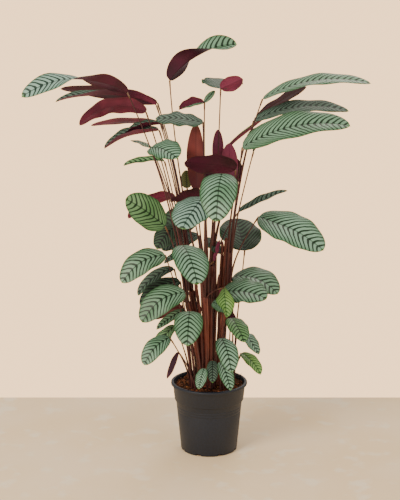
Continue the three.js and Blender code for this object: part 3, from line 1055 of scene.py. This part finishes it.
# The leaves: name, start of the stalk (a slot on a cane, or x and y on the soil), head (bearing,
# reach, height), blade (length, width), aim (heading, rise, droop), roll (at the base, twist to
# the tip), fold and tones. Lengths are in millimetres and angles in degrees.
PLAN: list[tuple] = [
    ("upper_left_1", ("left_front", 3), (195, 222, 1004), (300, 82), (196, 33, 67), (-44, 84), 14,
     (Upper.SILVER, Under.WINE)),
    ("upper_left_2", ("left_back", 0), (147, 166, 952), (270, 60), (184, 14, 10), (-50, 10), 10,
     (Upper.MINT, Under.WINE)),
    ("upper_left_3", ("left_back", 5), (170, 143, 957), (280, 70), (184, 24, 44), (-25, 30), 30,
     (Upper.GREY, Under.ROSE)),
    ("upper_left_4", ("left_front", 2), (185, 168, 945), (200, 75), (192, 32, 84), (-45, 0), 8,
     (Upper.MINT, Under.ROSE)),
    ("upper_left_5", ("left_back", 1), (143, 160, 896), (200, 50), (176, 8, 22), (-30, 0), 10,
     (Upper.MINT, Under.ROSE)),
    ("upper_left_6", ("left_back", 4), (166, 138, 888), (160, 62), (186, -2, 32), (4, 0), 42,
     (Upper.GREY, Under.ROSE)),
    ("upper_left_7", ("left_front", 5), (200, 165, 858), (98, 88), (-40, 12, 45), (-20, 0), 10,
     (Upper.MINT, Under.ROSE)),
    ("upper_left_8", ("left_back", 3), (160, 165, 835), (70, 32), (150, 20, 15), (0, 0), 10,
     (Upper.GREEN, Under.ROSE)),
    ("upper_left_9", ("left_front", 1), (176, 120, 808), (115, 30), (188, 15, 40), (25, 0), 30,
     (Upper.GREEN, Under.WINE)),
    ("top_1", ("middle_left", 3), (180, 105, 1027), (215, 90), (12, 54, 56), (65, -105), 28,
     (Upper.FERN, Under.WINE), {"sway": 0.8}),
    ("top_2", ("middle_back", 4), (-10, 30, 1006), (100, 112), (84, 14, 14), (-4, 0), 8,
     (Upper.GREY, Under.ROSE), {"sway": 0.8}),
    ("top_3", ("middle_left", 0), (110, 38, 963), (72, 56), (176, -12, 10), (-30, 0), 35,
     (Upper.GREY, Under.ROSE), {"sway": 0.6}),
    ("top_4", ("middle_front", 2), (256, 69, 928), (128, 85), (180, 10, 12), (15, 0), 5,
     (Upper.GREY, Under.WINE)),
    ("centre_1", ("middle_left", 4), (210, 40, 735), (185, 50), (-100, 88, 0), (0, 0), -15,
     (Upper.GREEN, Under.BRONZE)),
    ("centre_2", ("middle_back", 3), (40, 30, 790), (105, 32), (-90, 90, 0), (0, 0), -15,
     (Upper.GREEN, Under.ROSE)),
    ("centre_3", ("middle_back", 5), (12, 54, 740), (120, 50), (-90, 90, 0), (0, 0), -15,
     (Upper.GREEN, Under.ROSE)),
    ("centre_4", ("right_front", 4), (316.3, 96, 802), (150, 88), (200, 20, 18), (-45, 0), 5,
     (Upper.MINT, Under.WINE)),
    ("centre_5", ("middle_front", 1), (262, 62, 725), (100, 75), (186, 10, 30), (-50, 20), 10,
     (Upper.GREY, Under.WINE)),
    ("upper_right_1", ("right_back", 5), (352, 141, 981), (300, 72), (-5, 32, 47), (-16, 0), 10,
     (Upper.FERN, Under.WINE)),
    ("upper_right_2", ("right_back", 1), (17, 129, 922), (168, 58), (20, 34, 15), (45, 0), 5,
     (Upper.GREEN, Under.WINE)),
    ("upper_right_3", ("right_back", 0), (5, 118, 918), (265, 80), (-4, 29, 46), (-16, 0), 8,
     (Upper.GREY, Under.ROSE)),
    ("upper_right_4", ("right_front", 0), (325, 105, 859), (305, 112), (-12, 36, 46), (-32, 8), 10,
     (Upper.FERN, Under.WINE)),
    ("upper_right_5", ("middle_back", 1), (50, 50, 813), (195, 24), (15, 50, 25), (10, 0), 55,
     (Upper.GREEN, Under.ROSE)),
    ("right_1", ("middle_back", 0), (30, 92, 660), (160, 40), (25, 22, 10), (-10, 0), 30,
     (Upper.GREY, Under.ROSE)),
    ("right_2", ("right_front", 5), (332.6, 146.5, 674), (205, 118), (-26, -8, 26), (-25, 0), 8,
     (Upper.MINT, Under.WINE)),
    ("right_3", (70, 30), (26, 108, 552), (150, 118), (100, 30, 12), (0, 0), 8,
     (Upper.DARK_PAINTED_SHADE, Under.WINE)),
    ("right_4", (46, -40), (296, 66, 462), (140, 104), (-24, 22, 46), (-22, 0), 8,
     (Upper.FERN, Under.WINE)),
    ("right_5", (66, 2), (8, 64, 488), (150, 100), (-28, 20, 66), (-18, 0), 8,
     (Upper.FERN, Under.WINE)),
    ("right_6", (52, -34), (310, 90, 395), (110, 57), (-70, 0, 45), (0, 0), 8,
     (Upper.GREEN, Under.ROSE)),
    ("right_7", (64, -18), (332, 85, 345), (95, 50), (-42, 0, 60), (0, 0), 8,
     (Upper.MINT, Under.ROSE)),
    ("right_8", (38, -50), (290, 95, 345), (115, 60), (-72, -15, 50), (0, 0), 8,
     (Upper.MINT, Under.ROSE)),
    ("right_9", (60, -42), (330, 100, 290), (85, 40), (-40, -10, 50), (-15, 0), 12,
     (Upper.LIME, Under.ROSE)),
    ("right_10", (30, -58), (294, 75, 272), (95, 42), (-68, -20, 40), (0, 0), 8,
     (Upper.MINT, Under.ROSE)),
    ("right_11", (8, -50), (281, 47, 268), (74, 33), (-90, -25, 25), (0, 0), 8,
     (Upper.GREY, Under.ROSE)),
    ("right_12", ("middle_front", 5), (289, 122, 492), (85, 52), (-85, -45, 15), (-60, 100), 24,
     (Upper.LIME, Under.ROSE)),
    ("front_1", ("middle_front", 3), (236, 127, 606), (155, 94), (-72, -5, 52), (0, 0), 6,
     (Upper.MINT, Under.WINE)),
    ("front_2", ("middle_front", 4), (265, 112, 737), (140, 118), (-120, -5, 46), (0, 0), 6,
     (Upper.SILVER, Under.WINE)),
    ("front_3", ("middle_front", 0), (286, 117, 800), (176, 98), (-97, 0, 78), (0, 0), 6,
     (Upper.MINT, Under.WINE)),
    ("left_1", ("left_front", 4), (205, 130, 645), (138, 92), (197, 44, 14), (62, 0), 8,
     (Upper.GREEN, Under.WINE)),
    ("left_2", ("left_back", 2), (137, 125, 694), (152, 55), (183, 6, 62), (-50, 0), 10,
     (Upper.GREEN, Under.ROSE)),
    ("left_3", ("middle_left", 1), (106, 105, 634), (110, 85), (185, -5, 20), (50, 0), 8,
     (Upper.DARK_PAINTED_SHADE, Under.WINE)),
    ("left_4", (-46, -40), (205, 130, 566), (150, 74), (205, 4, 62), (35, 0), 8,
     (Upper.FERN, Under.WINE)),
    ("left_5", (-38, -34), (226, 93, 466), (155, 82), (207, 5, 66), (35, 0), 8,
     (Upper.FERN, Under.WINE)),
    ("left_6", (-46, 12), (170, 97, 509), (130, 38), (186, -8, 58), (40, 0), 20,
     (Upper.GREY, Under.WINE)),
    ("left_7", (-48, -8), (190, 80, 482), (135, 60), (197, 0, 60), (30, 0), 8,
     (Upper.DARK_PAINTED_SHADE, Under.WINE)),
    ("left_8", (-40, 34), (156, 77, 394), (100, 66), (170, 0, 45), (-50, 0), 8,
     (Upper.GREEN, Under.MAROON)),
    ("left_9", (-18, -48), (240, 105, 420), (130, 78), (-93, 0, 65), (0, 0), 8,
     (Upper.FERN, Under.WINE)),
    ("left_10", (-50, -26), (203, 117, 333), (110, 56), (216, -10, 55), (30, 0), 8,
     (Upper.MINT, Under.WINE)),
    ("left_11", (-52, 10), (177, 93, 352), (115, 48), (205, -30, 50), (20, 0), 8,
     (Upper.GREEN, Under.WINE)),
    ("left_12", (-36, -50), (212, 100, 295), (80, 24), (230, -50, 10), (172, 0), 10,
     (Upper.GREEN, Under.WINE)),
    ("left_13", (-4, -60), (260, 75, 255), (65, 33), (-110, -30, 30), (0, 0), 8,
     (Upper.MINT, Under.ROSE)),
    # Smaller blades between the main ones; each stands for the blade that it grows beside.
    ("upper_left_6_side", ("left_back", 4), (165, 135, 905), (115, 50), (183, -4, 30), (2, 0), 42,
     (Upper.GREY, Under.ROSE), {"stands_for": "upper_left_6"}),
    ("top_2_lobe", (0, 0), (-10, 30, 1006), (66, 46), (-12, 28, 6), (66, 0), 8,
     (Upper.GREY, Under.ROSE), {"stands_for": "top_2", "has_stalk": False}),
    ("top_3_lobe", (0, 0), (110, 38, 963), (44, 18), (32, 46, 10), (-45, 0), 15,
     (Upper.FERN, Under.ROSE), {"stands_for": "top_3", "has_stalk": False}),
    ("top_3_back", (0, 0), (110, 38, 963), (72, 26), (172, -6, 10), (35, 0), 15,
     (Upper.FERN, Under.ROSE), {"stands_for": "top_3", "has_stalk": False}),
    ("centre_1_bud", ("middle_left", 4), (165, 62, 733), (50, 32), (100, 70, 0), (10, 0), 0,
     (Upper.OLIVE, Under.ROSE), {"stands_for": "centre_1"}),
    ("centre_1_back", ("middle_left", 5), (90, 48, 722), (90, 66), (120, 74, 0), (170, 0), 5,
     (Upper.GREEN, Under.WINE), {"stands_for": "centre_1"}),
    ("centre_3_back", ("middle_back", 5), (20, 62, 740), (78, 60), (60, 76, 0), (180, 0), 5,
     (Upper.GREEN, Under.ROSE), {"stands_for": "centre_3"}),
    ("left_3_low", (-24, 24), (150, 100, 622), (90, 66), (215, -20, 40), (24, 0), 6,
     (Upper.DARK_PAINTED_SHADE, Under.WINE), {"stands_for": "left_3"}),
    ("left_3_wide", (-6, 30), (112, 76, 590), (112, 62), (190, -8, 24), (24, 0), 6,
     (Upper.GREY, Under.WINE), {"stands_for": "left_3"}),
    ("left_3_right", (6, 32), (100, 48, 590), (70, 46), (-50, -26, 10), (0, 0), 6,
     (Upper.DARK_PAINTED_SHADE, Under.WINE), {"stands_for": "left_3"}),
    ("left_6_high", (-30, 26), (126, 78, 560), (92, 28), (192, -18, 22), (30, 0), 12,
     (Upper.GREY, Under.ROSE), {"stands_for": "left_6"}),
    ("left_8_strip", (-34, 6), (178, 66, 396), (96, 26), (199, -14, 32), (48, 0), 20,
     (Upper.FERN, Under.MAROON), {"stands_for": "left_8"}),
    ("right_12_back", (8, -26), (-78, 38, 430), (60, 50), (-24, -6, 30), (-22, 0), 6,
     (Upper.FERN, Under.WINE), {"stands_for": "right_12"}),
    ("right_12_tongue", (14, -34), (-52, 52, 430), (42, 14), (90, 80, 0), (180, 0), 0,
     (Upper.GREEN, Under.ROSE), {"stands_for": "right_12"}),
    ("right_6_back", (26, -6), (14, 52, 395), (62, 30), (-60, -48, 10), (160, 0), 5,
     (Upper.GREEN, Under.WINE), {"stands_for": "right_6"}),
    ("front_1_sheath", ("middle_left", 0), (-30, 14, 536), (62, 16), (40, 74, 10), (180, 0), 5,
     (Upper.GREEN, Under.ROSE), {"stands_for": "front_1"}),
    ("upper_right_4_spare", ("right_front", 1), (-8, 118, 838), (34, 16), (30, 60, 10), (20, 0), 50,
     (Upper.GREEN, Under.WINE), {"stands_for": "upper_right_4"}),
    ("upper_right_3_spare", ("right_back", 3), (4, 100, 872), (40, 16), (10, 50, 10), (20, 0), 50,
     (Upper.GREEN, Under.WINE), {"stands_for": "upper_right_3"}),
    ("left_13_bud", (-12, 20), (120, 40, 250), (46, 26), (150, 40, 30), (0, 0), 10,
     (Upper.GREEN, Under.ROSE), {"stands_for": "left_13"}),
]


# ---- studio ---------------------------------------------------------------------------------
@dataclass
class Studio:
    """The floor, the light and the camera."""

    floor_back: float = 0.42
    floor_front: float = -6.0
    floor_side: float = 5.0
    sky: str = "FFF4E8"
    sky_strength: float = 0.75
    backdrop: tuple[float, float, float] = (2.7, 1.72, 0.92)
    camera_place: tuple[float, float, float] = (-0.025, -4.5, 1.709)
    camera_pitch: float = 75.75
    lens: float = 123.7

    def floor(self) -> None:
        """Lays the pale floor."""
        mesh = bmesh.new()
        points = bmesh.ops.create_grid(mesh, x_segments=8, y_segments=8, size=1.0)["verts"]
        for point in points:
            point.co.x *= self.floor_side
            point.co.y = mix(self.floor_front, self.floor_back, (point.co.y + 1) / 2)
        floor = put_in_scene("floor", mesh, [dress(FLOORING)])

    def lamp(self, name: str, place: Sequence[float], aim: Sequence[float], size: float,
             power: float, tint: Colour) -> None:
        """Hangs a square soft light.

        Args:
            name: The light's name.
            place: Where it hangs.
            aim: The point that it faces.
            size: The length of its sides.
            power: Its power in watts.
            tint: Its colour.
        """
        light = bpy.data.lights.new(name, "AREA")
        light.size, light.energy, light.color = size, power, tint[:3]
        lamp = bpy.data.objects.new(name, light)
        lamp.location = place
        lamp.rotation_euler = (Vector(aim) - Vector(place)).to_track_quat("-Z", "Y").to_euler()
        bpy.context.scene.collection.objects.link(lamp)

    def sky_light(self) -> None:
        """Makes the pale room light all round."""
        world = bpy.data.worlds.new("room")
        world.use_nodes = True
        background = next(n for n in world.node_tree.nodes if n.type == "BACKGROUND")
        background.inputs["Color"].default_value = paint(self.sky)
        background.inputs["Strength"].default_value = self.sky_strength
        tree = world.node_tree
        seen = tree.nodes.new("ShaderNodeBackground")
        seen.inputs["Color"].default_value = (*self.backdrop, 1.0)
        choice, path = tree.nodes.new("ShaderNodeMixShader"), tree.nodes.new("ShaderNodeLightPath")
        output = next(n for n in tree.nodes if n.type == "OUTPUT_WORLD")
        tree.links.new(path.outputs["Is Camera Ray"], choice.inputs[0])
        tree.links.new(background.outputs[0], choice.inputs[1])
        tree.links.new(seen.outputs[0], choice.inputs[2])
        tree.links.new(choice.outputs[0], output.inputs["Surface"])
        bpy.context.scene.world = world

    def camera(self) -> None:
        """Sets the camera."""
        lens = bpy.data.cameras.new("camera")
        lens.lens = self.lens
        camera = bpy.data.objects.new("camera", lens)
        camera.location = self.camera_place
        camera.rotation_euler = (math.radians(self.camera_pitch), 0, 0)
        bpy.context.scene.collection.objects.link(camera)
        bpy.context.scene.camera = camera

    def build(self) -> None:
        """Makes the studio."""
        self.camera()
        self.floor()
        self.sky_light()
        self.lamp("key", (-2.4, -3.0, 2.9), (0, 0, 0.65), 1.8, 150, paint("FFF4E6"))
        self.lamp("fill", (2.6, -2.6, 1.6), (0, 0, 0.6), 2.2, 22, paint("FFF8F0"))
        self.lamp("back", (0.8, 2.4, 2.6), (0, 0, 0.8), 1.6, 30, paint("FFF6EA"))


def main() -> None:
    """Builds everything in order."""
    logging.basicConfig(level=logging.INFO, format="%(name)s %(message)s")
    Studio().build()
    NurseryPot().build()
    SoilBed().build()
    Plant().build()


if __name__ == "__main__":
    main()
